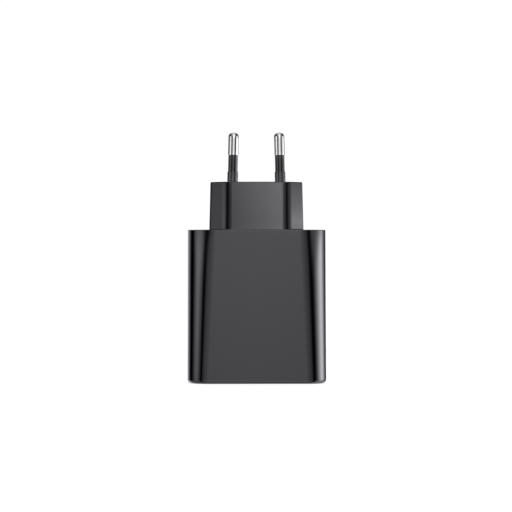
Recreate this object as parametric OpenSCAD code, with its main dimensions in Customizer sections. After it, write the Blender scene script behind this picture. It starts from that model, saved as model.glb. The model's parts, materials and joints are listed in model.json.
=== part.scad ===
// USB wall charger: a glossy two-part casing with a fixed two-pin mains plug, one USB-A and one USB-C
// socket, and the power supply inside. Millimetres. The origin is the centre of the port face, +Z runs
// towards the mains pins, X across the width, and -Y is the front face.

/* [Casing] */
// Width at the port end
body_w = 53.2; // [53:0.1:56]
// Width at the plug end
body_w_top = 53; // [52.6:0.1:56]
// Depth at the port end
body_d = 28; // [28:0.5:30]
// Depth at the plug end
body_d_top = 27.6; // [27.6:0.1:30]
// Height from the port face to the face that the plug stands on
body_h = 58.9; // [58.6:0.1:60]
// Corner radius at the port end
corner_r = 7.7; // [6:0.1:9]
// Corner radius at the plug end
corner_r_top = 10.6; // [9:0.1:10.8]
// Rounding round the port face
edge_r = 1.6; // [0.8:0.2:1.8]
// Wall thickness
wall = 2; // [1.8:0.1:2.1]
// Thickness of the rim that surrounds the plug cover
rim_t = 1; // [0.8:0.1:1.2]
// Thickness of the plug cover's plate
cover_t = 2; // [1.6:0.2:2.2]

/* [Plug] */
// Width of the plug across its points, at the engagement face
neck_w = 35.5; // [34.6:0.1:36]
// Depth of the plug across its flats, at the engagement face
neck_d = 13.7; // [13:0.1:14.4]
// Height of the plug above the casing
neck_h = 18.5; // [18:0.1:19]
// Draft of the plug's sides, in degrees
neck_draft = 1; // [0.5:0.1:1.5]
// Wall thickness of the plug
neck_wall = 1.8; // [1.5:0.1:2]
// Thickness of the engagement face
face_t = 3; // [2.5:0.1:3.5]

/* [Mains pins] */
// Distance between the pins' axes at the engagement face
pin_pitch = 18.4; // [18.4:0.1:19]
// Distance between the pins' axes at their tips
pin_pitch_tip = 17.5; // [17:0.1:18]
// Length of a pin outside the plug
pin_len = 19.1; // [18.5:0.1:19.5]
// Radius of a pin's bare end
pin_r = 2; // [1.97:0.01:2.03]
// Rounding of a pin's nose
nose_r = 1.5; // [0.8:0.1:1.6]
// Length of the insulating sleeve outside the plug
sleeve_len = 10.4; // [10:0.1:11]
// Length of the sleeve's thick foot
foot_len = 4; // [3.5:0.1:5]
// Radius of the sleeve's thick foot
foot_r = 2.07; // [2:0.01:2.1]
// Radius of the sleeve's thin part
sleeve_r = 1.84; // [1.8:0.01:1.9]

/* [USB sockets] */
// Where the USB-A socket's centre is across the width
usb_a_x = -8.5; // [-9:0.5:-8]
// Where the USB-C socket's centre is across the width
usb_c_x = 10; // [9:0.5:10]
// How far both sockets' mouths lie inside the port face
mouth_z = 0.4; // [0.2:0.1:0.6]
// Length of both sockets
socket_len = 14; // [13.8:0.1:14]
// Travel of a USB-A contact finger, in degrees
finger_travel = 3.4; // [2:0.1:3.6]
// Pose of the USB-A contact fingers, in degrees from rest
finger_angle = 0; // [0:0.1:3.4]

/* [Circuit boards] */
// Width of both boards
board_w = 42; // [41:0.5:42]
// Thickness of the main board
board_t = 1.6; // [1.2:0.2:1.6]
// Distance of the main board's component side behind the centre plane
board_front_y = 7.4; // [7.2:0.1:7.4]
// Height of the main board's top edge
board_top_z = 53.2; // [53:0.1:53.3]
// Thickness of the port board
port_board_t = 1.2; // [1:0.1:1.2]

/* [Hidden] */
$fn = 48;
slice_t = 0.01;
seam_gap = 0.08;
face_z = body_h + neck_h;
pin_tilt = atan((pin_pitch - pin_pitch_tip) / 2 / pin_len);
core_r = 1.5;
tail_len = 12;
skirt_t = 1;
skirt_h = 3;
neck_edge_r = 5.2;
neck_tip_r = 2.2;
neck_top_r = 0.4;
socket_top_z = mouth_z + socket_len;
port_board_top_z = socket_top_z + port_board_t;
board_back_y = board_front_y + board_t;
tab_xs = [-13, 13];
tab_w = 5;
tab_h = 2.2;
// Standoff of upright components from the main board
standoff = 0.3;
lead_r = 0.3;
lead_tail = 1.6;

// USB-A socket: the opening, the tongue and the contacts
a_open = [12.5, 5.12];
a_plate_t = 0.3;
a_outside = a_open + [2 * a_plate_t, 2 * a_plate_t];
a_tongue_w = 11.1;
a_tongue_t = 1.84;
a_tongue_gap = 0.7;
a_tongue_front_z = 1.3;
a_rear_t = 2;
a_contact_xs = [-3.5, -1, 1, 3.5];
a_contact_w = 1;
a_strip_t = 0.25;
a_strip_y = 0.25;
a_groove_w = 1.3;
a_groove_depth = 1.35;
a_hinge_z = 11.6;
a_tail_up = 0.8;
tongue_y0 = a_open[1] / 2 - a_tongue_gap - a_tongue_t;

// USB-C socket
c_open = [8.34, 2.56];
c_plate_t = 0.3;
c_outside = c_open + [2 * c_plate_t, 2 * c_plate_t];
c_tongue_w = 6.7;
c_tongue_t = 0.7;
c_tongue_front_z = 1.4;
c_rear_z = 7.4;
c_pitch = 0.5;
c_contacts = 12;
c_strip = [0.26, 0.1];
c_mid_plate_t = 0.14;

// Where the components stand on the main board: [x, z]
fuse_at = [-15.8, 48.8];
thermistor_at = [14.5, 41];
choke_at = [0, 49];
choke_ring = [3.4, 6, 5];
choke_wire = 0.7;
choke_lift = standoff + choke_ring[1] + choke_wire;
choke_leads = [4.55, 2];
x_capacitor_at = [3, 41];
bridge_at = [16, 49];
bulk_ats = [[-15, 39.2], [-15, 28.8]];
y_capacitor_at = [-6.5, 35.5];
coupler_at = [-6.3, 27.8];
coupler_size = [4.6, 6.4, 3.5];
output_ats = [[-16.5, 19.9], [-9.2, 19.9]];
transformer_at = [7, 27.5];
spring_z = 48.5;
spring_x = pin_pitch / 2 + tail_len * tan(pin_tilt);
fuse_d = 8.4;
bulk_d = 10;
bulk_h = 16;
output_d = 6.3;
output_h = 8.2;

// Transformer: an E-core pair whose legs run along Z, and a bobbin round its centre leg
core_w = 19;
core_depth = 5;
core_h = 16;
leg_w = 2.4;
centre_w = 4.8;
tube_t = 0.7;
flange_t = 0.7;
flange = [13.6, 13];
coil_h = core_h - 2 * leg_w - 2 * flange_t - 0.4;
primary_t = 1.8;
secondary_t = 1;
wrap_t = 0.15;
foot_z = core_h / 2 - leg_w + 0.55;
transformer_y = 0.2;
rail_y = board_front_y - standoff;

coupler_reach = 3.81;

// Every wire lead that passes through the main board: [x, z]
function pair(at, dx, dz) = [[at[0] - dx, at[1] - dz], [at[0] + dx, at[1] + dz]];
function four(at, dx, dz) = concat(pair(at, dx, dz), pair(at, dx, -dz));
transformer_pins = [for (side = [-1, 1], i = [-1.5:1:1.5])
    [transformer_at[0] + i * 4, transformer_at[1] + side * foot_z]];
leads = concat(
    pair(fuse_at, 2.54, 0), pair(thermistor_at, 2.5, 0),
    four(choke_at, choke_leads[0], choke_leads[1]), pair(x_capacitor_at, 5, 0),
    four(bridge_at, 2.5, 2.2), pair(bulk_ats[0], 2.5, 0), pair(bulk_ats[1], 2.5, 0),
    pair(y_capacitor_at, 0, 2.5), four(coupler_at, 1.27, coupler_reach),
    pair([0, spring_z], spring_x, 0));

// Chips and small parts: [x, z] on the solder side, or [x, y] on the port board
primary_ic_at = [-11.5, 34];
sync_ic_at = [4, 27.5];
port_ic_at = [12, -5];
ic_size = [5, 4, 1.4];
resistor_ats = [for (i = [0:5]) [-11 + 3.4 * i, 44]];
capacitor_ats = [for (i = [0:3]) [-12 + 3.6 * i, -7]];
chip_size = [2, 1.25, 0.55];

// ---------- Shared shapes ----------

function blend(a, b, t) = a + (b - a) * t;

// A rectangle with round corners, drawn with true arcs
module rounded_rect(size, r) {
    square([size[0] - 2 * r, size[1]], center = true);
    square([size[0], size[1] - 2 * r], center = true);
    for (sx = [-1, 1], sy = [-1, 1])
        translate([sx * (size[0] / 2 - r), sy * (size[1] / 2 - r)])
            circle(r);
}

// A closed band round an opening, t thick
module rounded_frame(inner, r, t) {
    difference() {
        rounded_rect([inner[0] + 2 * t, inner[1] + 2 * t], r + t);
        rounded_rect(inner, r);
    }
}

module block(size, at = [0, 0, 0]) {
    translate([at[0] - size[0] / 2, at[1] - size[1] / 2, at[2]])
        cube(size);
}

// The outline of a bent strip: the centre line moved to one side, and back along the other
function side_normal(a, b) = [a[1] - b[1], b[0] - a[0]] / norm(b - a);
function corner_shift(p, i) =
    let (before = side_normal(p[max(i - 1, 0)], p[max(i, 1)]),
         last = len(p) - 1,
         after = side_normal(p[min(i, last - 1)], p[min(i + 1, last)]))
    (before + after) / (1 + before * after);
function strip_outline(p, t) = concat(
    [for (i = [0:len(p) - 1]) p[i] + corner_shift(p, i) * t / 2],
    [for (i = [len(p) - 1:-1:0]) p[i] - corner_shift(p, i) * t / 2]);

// Extrudes a [y, z] outline across X, centred on x
module across(x, width) {
    translate([x - width / 2, 0, 0])
        rotate([90, 0, 90])
            linear_extrude(width)
                children();
}

// ---------- Casing ----------

function body_w_at(z) = blend(body_w, body_w_top, z / body_h);
function body_d_at(z) = blend(body_d, body_d_top, z / body_h);
function corner_at(z) = blend(corner_r, corner_r_top, z / body_h);

// One thin slice of the casing's outline at height z, moved in by inset
module casing_slice(z, inset) {
    r = corner_at(z);
    for (sx = [-1, 1], sy = [-1, 1])
        translate([sx * (body_w_at(z) / 2 - r), sy * (body_d_at(z) / 2 - r), z])
            cylinder(r = r - inset, h = slice_t);
}

module casing_block(z0, z1, inset) {
    hull() {
        casing_slice(z0, inset);
        casing_slice(z1 - slice_t, inset);
    }
}

module casing_outside() {
    top_bevel = 0.2;
    hull() {
        for (a = [0:15:90])
            casing_slice(edge_r * (1 - cos(a)), edge_r * (1 - sin(a)));
        casing_slice(body_h - top_bevel, 0);
        casing_slice(body_h - slice_t, top_bevel);
    }
}

// The hole for a socket through the port face, with a shallow step round it
module socket_window(x, size, r) {
    clearance = 0.15;
    step_w = 0.5;
    step_depth = 0.35;
    translate([x, 0, -1]) {
        linear_extrude(wall + 2)
            rounded_rect(size + [2 * clearance, 2 * clearance], r + clearance);
        linear_extrude(1 + step_depth)
            rounded_rect(size + [2 * step_w, 2 * step_w], r + step_w);
    }
}

// Grooves that hold the main board's side edges, grown out of the inner wall
module board_rails() {
    rail_t = 0.7;
    intersection() {
        casing_block(18, 50, wall - 0.3);
        for (sx = [-1, 1], y = [board_front_y - rail_t / 2 - 0.1, board_back_y + rail_t / 2 + 0.1])
            block([5, rail_t, 32], [sx * 22.8, y, 18]);
    }
}

// Pillars that carry the port board against the push of a plug
module board_pillars() {
    for (sx = [-1, 1], sy = [-1, 1])
        block([3, 3, socket_top_z - wall + 0.5], [sx * 19.5, sy * 7, wall - 0.5]);
}

module housing() {
    color("#1a1a1c")
        union() {
            difference() {
                casing_outside();
                casing_block(wall, body_h + 1, wall);
                casing_block(body_h - cover_t, body_h + 1, rim_t);
                socket_window(usb_a_x, a_outside, 0.7);
                socket_window(usb_c_x, c_outside, c_outside[1] / 2 - 0.01);
            }
            board_rails();
            board_pillars();
        }
}

// One thin slice of the plug: a hexagon with flats front and back, and points at its sides
module neck_slice(z, inset) {
    grow = (face_z - z) * tan(neck_draft) - inset;
    half_d = neck_d / 2 + grow;
    point = neck_w / 2 + neck_tip_r * (sqrt(2) - 1) + grow * sqrt(2);
    edge = max(neck_edge_r - inset, 0.5);
    tip = max(neck_tip_r - inset, 0.3);
    for (sx = [-1, 1]) {
        translate([sx * (point - tip * sqrt(2)), 0, z])
            cylinder(r = tip, h = slice_t);
        for (sy = [-1, 1])
            translate([sx * (point - half_d + edge - edge * sqrt(2)), sy * (half_d - edge), z])
                cylinder(r = edge, h = slice_t);
    }
}

module neck_outside() {
    hull() {
        neck_slice(body_h - cover_t / 2, 0);
        for (a = [0:30:90])
            neck_slice(face_z - slice_t - neck_top_r * (1 - sin(a)), neck_top_r * (1 - cos(a)));
    }
}

module neck_inside() {
    hull() {
        neck_slice(body_h - cover_t - 1, neck_wall);
        neck_slice(face_z - face_t - slice_t, neck_wall);
    }
}

// Places its children at a pin's foot, with +Z along the pin; side is -1 for live and 1 for neutral
module at_pin(side) {
    translate([side * pin_pitch / 2, 0, face_z])
        rotate([0, -side * pin_tilt, 0])
            children();
}

module plug_cover() {
    skirt_z = body_h - cover_t - skirt_h;
    relief_r = foot_r + 0.28;
    relief_depth = 0.3;
    color("#1d1d1f")
        difference() {
            union() {
                casing_block(body_h - cover_t, body_h, rim_t + seam_gap);
                difference() {
                    casing_block(skirt_z, body_h - cover_t + 0.1, wall + seam_gap);
                    casing_block(skirt_z - 1, body_h - cover_t, wall + seam_gap + skirt_t);
                }
                neck_outside();
            }
            neck_inside();
            for (side = [-1, 1])
                at_pin(side) {
                    translate([0, 0, -face_t - 1])
                        cylinder(r = foot_r, h = face_t + 2);
                    translate([0, 0, -relief_depth])
                        cylinder(r = relief_r, h = 1);
                }
        }
}

// ---------- Mains pins ----------

module pin_profile() {
    collar_r = 2.6;
    collar_t = 1;
    collar_gap = 0.1;
    nose_z = pin_len - nose_r;
    translate([0, -tail_len])
        square([core_r, tail_len + sleeve_len]);
    translate([0, -face_t - collar_gap - collar_t])
        square([collar_r, collar_t]);
    translate([0, sleeve_len])
        square([pin_r, nose_z - sleeve_len]);
    translate([0, nose_z])
        square([pin_r - nose_r, nose_r]);
    intersection() {
        translate([pin_r - nose_r, nose_z])
            circle(nose_r);
        translate([0, nose_z])
            square([pin_r, nose_r]);
    }
}

module mains_pin(side) {
    color("#d9d9d6")
        at_pin(side)
            rotate_extrude()
                pin_profile();
}

module pin_sleeve(side) {
    color("#151516")
        at_pin(side)
            rotate_extrude() {
                translate([core_r, -face_t])
                    square([foot_r - core_r, face_t + foot_len]);
                translate([core_r, foot_len - 0.1])
                    square([sleeve_r - core_r, sleeve_len - foot_len + 0.1]);
            }
}

// A bent strip from the main board up into the plug, which presses on a pin's tail
module contact_spring(side) {
    strip_t = 0.4;
    tail_y = core_r + 0.02 + strip_t / 2;
    foot_y = board_front_y - strip_t / 2;
    path = [[foot_y, 46.5], [foot_y, 50.5], [2.6, 56.4], [tail_y, 60], [tail_y, 68], [2.5, 69.3]];
    color("#c9a04e")
        across(side * spring_x, 3)
            polygon(strip_outline(path, strip_t));
}

// ---------- Main board ----------

// Places its children on the component side, with their Z away from the board and their Y up
module on_board(at, lift = 0) {
    translate([at[0], board_front_y - lift, at[1]])
        rotate([90, 0, 0])
            children();
}

// The same on the solder side
module behind_board(at) {
    translate([at[0], board_back_y, at[1]])
        rotate([-90, 0, 0])
            children();
}

module main_board() {
    lead_hole_r = lead_r + 0.05;
    pin_hole_r = 0.5;
    color("#2f6b3c")
        difference() {
            on_board([0, 0], -board_t)
                linear_extrude(board_t) {
                    translate([0, (port_board_top_z + board_top_z) / 2])
                        square([board_w, board_top_z - port_board_top_z], center = true);
                    for (x = tab_xs)
                        translate([x - tab_w / 2, port_board_top_z - tab_h])
                            square([tab_w, tab_h + 0.1]);
                }
            for (at = leads)
                on_board(at, -board_t - 1)
                    cylinder(r = lead_hole_r, h = board_t + 2);
            for (at = transformer_pins)
                on_board(at, -board_t - 1)
                    cylinder(r = pin_hole_r, h = board_t + 2);
        }
}

// A lead that ends flush with the board under a contact spring, or at the foot of a raised component
function lead_above(at) = abs(at[1] - spring_z) < 0.01 ? 0 : standoff;

module component_leads() {
    body_edge = coupler_size[1] / 2;
    bend_h = 1.8;
    color("#c8c8c8") {
        for (at = leads)
            on_board(at, -board_t - lead_tail)
                cylinder(r = lead_r, h = board_t + lead_tail + lead_above(at));
        on_board(coupler_at)
            for (sx = [-1, 1], sy = [-1, 1])
                translate([sx * 1.27, 0, 0]) {
                    block([2 * lead_r, coupler_reach - body_edge, lead_r],
                        [0, sy * (coupler_reach + body_edge) / 2, bend_h]);
                    translate([0, sy * coupler_reach, 0])
                        cylinder(r = lead_r, h = bend_h + lead_r);
                }
    }
}

module fuse() {
    cap_d = fuse_d - 0.6;
    color("#3a2a20")
        on_board(fuse_at, standoff) {
            cylinder(d = fuse_d, h = 6.6);
            cylinder(d = cap_d, h = 7.4);
        }
}

module inrush_thermistor() {
    disc_d = 7;
    color("#2c3b34")
        on_board(thermistor_at, standoff) {
            translate([0, 0, disc_d / 2 + 0.4])
                rotate([90, 0, 0])
                    cylinder(d = disc_d, h = 3.6, center = true);
            for (dx = [-2.5, 2.5])
                block([1.2, 1.6, 2.4], [dx, 0, 0]);
        }
}

// The choke's ring stands on edge, with its axis along Z
module choke_core() {
    color("#3c4044")
        on_board(choke_at, choke_lift)
            rotate([90, 0, 0])
                translate([0, 0, -choke_ring[2] / 2])
                    rotate_extrude()
                        translate([choke_ring[0], 0])
                            square([choke_ring[1] - choke_ring[0], choke_ring[2]]);
}

// Two windings of separate turns, on opposite sides of the ring, and their four wires down to the board
module choke_windings() {
    section = [choke_ring[1] - choke_ring[0] + 0.04, choke_ring[2] + 0.04];
    wire_ends = [for (sx = [-1, 1], sy = [-1, 1]) [sx * choke_leads[0], sy * choke_leads[1]]];
    color("#b4672f") {
        on_board(choke_at, choke_lift)
            for (side = [0, 180], a = [-44:11:44])
                rotate([0, side + a, 0])
                    translate([(choke_ring[0] + choke_ring[1]) / 2, 0, -choke_wire * 0.4])
                        linear_extrude(choke_wire * 0.8)
                            rounded_frame(section, 0.1, choke_wire * 0.9);
        on_board(choke_at, standoff)
            for (end = wire_ends)
                translate(end)
                    cylinder(r = lead_r, h = 2.4);
    }
}

module x_capacitor() {
    color("#d8b52c")
        on_board(x_capacitor_at, standoff)
            linear_extrude(12)
                rounded_rect([13, 6], 0.5);
}

module bridge_rectifier() {
    color("#202022")
        on_board(bridge_at, standoff)
            linear_extrude(3)
                rounded_rect([8.4, 6.4], 0.2);
}

module bulk_capacitor_cans() {
    skin = 0.15;
    color("#c4c6c8")
        for (at = bulk_ats)
            on_board(at, standoff + 1.2)
                difference() {
                    cylinder(d = bulk_d - 2 * skin, h = bulk_h - 1.2);
                    translate([0, 0, bulk_h - 1.4])
                        for (a = [0, 60, 120])
                            rotate(a)
                                block([bulk_d * 0.6, 0.3, 1]);
                }
}

module bulk_capacitor_sleeves() {
    skin = 0.15;
    lip = 0.8;
    color("#22262c")
        for (at = bulk_ats)
            on_board(at, standoff)
                rotate_extrude() {
                    translate([bulk_d / 2 - skin, 0])
                        square([skin, bulk_h + skin]);
                    translate([bulk_d / 2 - lip, bulk_h])
                        square([lip, skin]);
                }
}

module bulk_capacitor_bungs() {
    color("#2a2a2a")
        for (at = bulk_ats)
            on_board(at, standoff)
                cylinder(d = bulk_d - 0.6, h = 1.2);
}

module y_capacitor() {
    disc_d = 7.4;
    color("#2d6fb0")
        on_board(y_capacitor_at, standoff) {
            translate([0, 0, disc_d / 2 + 0.4])
                rotate([0, 90, 0])
                    cylinder(d = disc_d, h = 3, center = true);
            for (dy = [-2.5, 2.5])
                block([1.4, 1.2, 2.4], [0, dy, 0]);
        }
}

module optocoupler() {
    color("#e6e6e0")
        on_board(coupler_at, standoff)
            difference() {
                block(coupler_size);
                translate([-1.5, 2.2, coupler_size[2] - 0.2])
                    cylinder(d = 0.8, h = 1);
            }
}

module output_capacitor_cans() {
    color("#b9bcbf")
        for (at = output_ats)
            on_board(at, 1)
                cylinder(d = output_d, h = output_h);
}

module output_capacitor_bases() {
    color("#1f1f21")
        for (at = output_ats)
            on_board(at)
                block([output_d, output_d, 1]);
}

// ---------- Transformer ----------

module at_transformer() {
    translate([transformer_at[0], transformer_y, transformer_at[1]])
        children();
}

// One E-shaped half; side is 1 for the upper half and -1 for the lower one
module core_half(side) {
    half_h = core_h / 2;
    color("#4a4a4d")
        at_transformer()
            scale([1, 1, side]) {
                block([core_w, core_depth, leg_w], [0, 0, half_h - leg_w]);
                block([centre_w, core_depth, half_h - 0.02], [0, 0, 0.02]);
                for (sx = [-1, 1])
                    block([leg_w, core_depth, half_h - 0.02], [sx * (core_w - leg_w) / 2, 0, 0.02]);
            }
}

// A band round the centre leg: t thick, h high, with its inside at distance inner from the leg
module coil(inner, t, h, clear = 0.05) {
    hole = [centre_w + 2 * inner + clear, core_depth + 2 * inner + clear];
    translate([0, 0, -h / 2])
        linear_extrude(h)
            rounded_frame(hole, 0.06 + inner * 0.8, t);
}

module transformer_bobbin() {
    foot_y = rail_y - transformer_y;
    color("#26262a")
        at_transformer() {
            coil(0.05, tube_t, coil_h + 2 * flange_t, 0);
            for (side = [-1, 1])
                translate([0, 0, side * (coil_h + flange_t) / 2 - flange_t / 2]) {
                    linear_extrude(flange_t)
                        difference() {
                            rounded_rect(flange, 1);
                            square([centre_w + 0.1, core_depth + 0.1], center = true);
                        }
                }
            for (side = [-1, 1])
                translate([-7.6, core_depth / 2 + 0.2, side * foot_z - 0.8])
                    cube([15.2, foot_y - core_depth / 2 - 0.2, 1.6]);
        }
}

module transformer_primary() {
    color("#b5632c")
        at_transformer()
            coil(0.05 + tube_t, primary_t, coil_h);
}

module transformer_secondary() {
    color("#c98a2b")
        at_transformer()
            coil(0.1 + tube_t + primary_t, secondary_t, coil_h);
}

module transformer_tape() {
    color("#e0c23a")
        at_transformer()
            coil(0.15 + tube_t + primary_t + secondary_t, wrap_t, coil_h);
}

module transformer_pins() {
    color("#c8c8c8")
        for (at = transformer_pins)
            on_board(at, -board_t - lead_tail)
                cylinder(r = 0.4, h = board_t + lead_tail + standoff);
}

// ---------- Chips ----------

module ic_body() {
    color("#1b1b1d")
        difference() {
            block(ic_size, [0, 0, 0.1]);
            translate([-ic_size[0] / 2 + 0.8, -ic_size[1] / 2 + 0.8, ic_size[2]])
                cylinder(d = 0.6, h = 1);
        }
}

// Eight legs, four a side, each bent down to the board
module ic_legs() {
    side_y = ic_size[1] / 2;
    path = [[side_y, 0.7], [side_y + 0.45, 0.7], [side_y + 0.6, 0.1], [side_y + 1.1, 0.1]];
    for (turn = [0, 180])
        rotate(turn)
            for (i = [-1.5:1:1.5])
                across(i * 1.27, 0.42)
                    polygon(strip_outline(path, 0.2));
}

module primary_switch_ic() {
    behind_board(primary_ic_at)
        ic_body();
}

module sync_rectifier_ic() {
    behind_board(sync_ic_at)
        ic_body();
}

module on_port_board(at) {
    translate([at[0], at[1], port_board_top_z])
        children();
}

module port_controller_ic() {
    on_port_board(port_ic_at)
        ic_body();
}

module ic_legs_on_all() {
    color("#c8c8c8") {
        behind_board(primary_ic_at)
            ic_legs();
        behind_board(sync_ic_at)
            ic_legs();
        on_port_board(port_ic_at)
            ic_legs();
    }
}

module chip_resistors() {
    color("#28282c")
        for (at = resistor_ats)
            behind_board(at)
                block(chip_size);
}

module chip_capacitors() {
    color("#a98a63")
        for (at = capacitor_ats)
            on_port_board(at)
                block(chip_size + [0, 0, 0.35]);
}

// A thin sheet that lies on the soldered wire ends
module insulating_sheet() {
    sheet_t = 0.2;
    color("#e9e4cf")
        block([34, sheet_t, 34.5], [0, board_back_y + lead_tail + sheet_t / 2, 17.5]);
}

// ---------- Port board and sockets ----------

// Mounting legs of the two sockets' shells: [x, y] from the socket's centre
a_legs = [for (sx = [-1, 1], sy = [-1, 1]) [sx * (a_open[0] + a_plate_t) / 2, sy * 1.5]];
c_legs = [for (sx = [-1, 1], sy = [-1, 1]) [sx * 2.4, sy * (c_open[1] + c_plate_t) / 2]];
a_leg = [a_plate_t, 1.2];
c_leg = [1.1, c_plate_t];
leg_h = port_board_t + 0.7;

// A slot through the port board for a leg or tab of that size
module board_hole(size, at) {
    gap = 0.1;
    block([size[0] + 2 * gap, size[1] + 2 * gap, port_board_t + 2], [at[0], at[1], socket_top_z - 1]);
}

module port_board() {
    depth = 19.6;
    middle_y = 0.4;
    color("#2f6b3c")
        difference() {
            translate([0, middle_y, socket_top_z])
                linear_extrude(port_board_t)
                    rounded_rect([board_w, depth], 2);
            for (x = tab_xs)
                board_hole([tab_w, board_t], [x, (board_front_y + board_back_y) / 2]);
            for (x = a_contact_xs)
                board_hole([a_contact_w, a_strip_t], [usb_a_x + x, a_strip_y]);
            for (leg = a_legs)
                board_hole(a_leg, [usb_a_x + leg[0], leg[1]]);
            for (leg = c_legs)
                board_hole(c_leg, [usb_c_x + leg[0], leg[1]]);
        }
}

// A U-shaped slit that frees one retention tongue in a wide side of the USB-A shell
module tongue_slit(x, side) {
    slit = 0.25;
    tongue = [1.9, 4.4];
    reach = 1;
    y = side * (a_open[1] + a_plate_t) / 2;
    for (dx = [-1, 1])
        block([slit, reach, tongue[1]], [x + dx * (tongue[0] + slit) / 2, y, 4]);
    block([tongue[0] + 2 * slit, reach, slit], [x, y, 4 - slit]);
}

module usb_a_shell() {
    color("#c9cacc")
        translate([usb_a_x, 0, 0]) {
            difference() {
                translate([0, 0, mouth_z])
                    linear_extrude(socket_len)
                        rounded_frame(a_open, 0.4, a_plate_t);
                for (x = [-3.2, 3.2], side = [-1, 1])
                    tongue_slit(x, side);
            }
            for (leg = a_legs)
                block([a_leg[0], a_leg[1], leg_h], [leg[0], leg[1], socket_top_z - 0.1]);
        }
}

module usb_a_insulator() {
    rear_z = socket_top_z - a_rear_t;
    color("#e8e6e0")
        translate([usb_a_x, 0, 0])
            difference() {
                union() {
                    translate([0, 0, rear_z])
                        linear_extrude(a_rear_t)
                            rounded_rect(a_open - [0.04, 0.04], 0.4);
                    block([a_tongue_w, a_tongue_t, rear_z - a_tongue_front_z + 0.1],
                        [0, tongue_y0 + a_tongue_t / 2, a_tongue_front_z]);
                }
                for (x = a_contact_xs) {
                    block([a_groove_w, a_groove_depth * 2, rear_z - 2], [x, tongue_y0, 2]);
                    block([a_contact_w, a_strip_t, a_rear_t + 2], [x, a_strip_y, rear_z - 1]);
                }
            }
}

module usb_a_contact_tails() {
    knuckle_gap = 0.25;
    color("#d4af5a")
        for (x = a_contact_xs)
            block([a_contact_w, a_strip_t, port_board_top_z + a_tail_up - a_hinge_z - knuckle_gap],
                [usb_a_x + x, a_strip_y, a_hinge_z + knuckle_gap]);
}

// One sprung finger. It turns about its round root, in the groove of the tongue, as a plug goes in.
module usb_a_finger(i) {
    root_r = 0.2;
    crown_r = 0.9;
    crown_z = 4.3;
    crown_y = 0.3;
    crown = [for (a = [-48:16:48]) [crown_y - crown_r * cos(a), crown_z - crown_r * sin(a)]];
    path = concat([[0, a_hinge_z], [0, 6.6]], crown, [[0.3, 2.6]]);
    color("#d4af5a")
        translate([usb_a_x + a_contact_xs[i], a_strip_y, a_hinge_z])
            rotate([finger_angle, 0, 0])
                translate([0, 0, -a_hinge_z]) {
                    across(0, a_contact_w)
                        polygon(strip_outline(path, a_strip_t));
                    translate([-a_contact_w / 2, 0, a_hinge_z])
                        rotate([0, 90, 0])
                            cylinder(r = root_r, h = a_contact_w);
                }
}

// A slot-shaped outline with round ends
module slot_shape(size) {
    rounded_rect(size, size[1] / 2 - 0.01);
}

module usb_c_shell() {
    color("#c9cacc")
        translate([usb_c_x, 0, 0]) {
            translate([0, 0, mouth_z])
                linear_extrude(socket_len)
                    difference() {
                        slot_shape(c_outside);
                        slot_shape(c_open);
                    }
            for (leg = c_legs)
                block([c_leg[0], c_leg[1], leg_h], [leg[0], leg[1], socket_top_z - 0.1]);
        }
}

function c_contact_x(i) = (i - (c_contacts - 1) / 2) * c_pitch;
c_strip_y = c_tongue_t / 2 - c_strip[1] / 2;

// The plate in the middle of the tongue, whose two edges lie flush with the tongue's sides
module mid_plate_shape() {
    block([c_tongue_w, c_mid_plate_t, 5.4], [0, 0, c_tongue_front_z + 0.3]);
}

module usb_c_insulator() {
    color("#1c1c1e")
        translate([usb_c_x, 0, 0])
            difference() {
                union() {
                    translate([0, 0, c_rear_z])
                        linear_extrude(socket_top_z - c_rear_z)
                            slot_shape(c_open - [0.04, 0.04]);
                    block([c_tongue_w, c_tongue_t, c_rear_z - c_tongue_front_z + 0.1],
                        [0, 0, c_tongue_front_z]);
                }
                mid_plate_shape();
                for (i = [0:c_contacts - 1], side = [-1, 1])
                    block([c_strip[0], c_strip[1], socket_top_z],
                        [c_contact_x(i), side * c_strip_y, c_tongue_front_z + 0.4]);
            }
}

module usb_c_contacts() {
    foot_z = c_tongue_front_z + 0.4;
    color("#d4af5a")
        for (i = [0:c_contacts - 1], side = [-1, 1])
            block([c_strip[0], c_strip[1], socket_top_z - foot_z],
                [usb_c_x + c_contact_x(i), side * c_strip_y, foot_z]);
}

module usb_c_mid_plate() {
    color("#b8babc")
        translate([usb_c_x, 0, 0])
            mid_plate_shape();
}

// ---------- Nodes ----------

housing();
plug_cover();
mains_pin(-1);  // live_pin
mains_pin(1);  // neutral_pin
pin_sleeve(-1);  // live_pin_sleeve
pin_sleeve(1);  // neutral_pin_sleeve
contact_spring(-1);  // live_contact_spring
contact_spring(1);  // neutral_contact_spring
main_board();
fuse();
inrush_thermistor();
choke_core();
choke_windings();
x_capacitor();
bridge_rectifier();
bulk_capacitor_cans();
bulk_capacitor_sleeves();
bulk_capacitor_bungs();
y_capacitor();
optocoupler();
output_capacitor_cans();
output_capacitor_bases();
core_half(1);  // transformer_core_upper
core_half(-1);  // transformer_core_lower
transformer_bobbin();
transformer_primary();
transformer_secondary();
transformer_tape();
transformer_pins();
component_leads();
primary_switch_ic();
sync_rectifier_ic();
chip_resistors();
insulating_sheet();
port_board();
port_controller_ic();
chip_capacitors();
ic_legs_on_all();  // ic_leads
usb_a_shell();
usb_a_insulator();
usb_a_contact_tails();
usb_a_finger(0);  // usb_a_finger_power
usb_a_finger(1);  // usb_a_finger_data_minus
usb_a_finger(2);  // usb_a_finger_data_plus
usb_a_finger(3);  // usb_a_finger_ground
usb_c_shell();
usb_c_insulator();
usb_c_contacts();
usb_c_mid_plate();
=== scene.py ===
import json
import math

import bmesh
import bpy
from mathutils import Matrix, Vector


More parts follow.
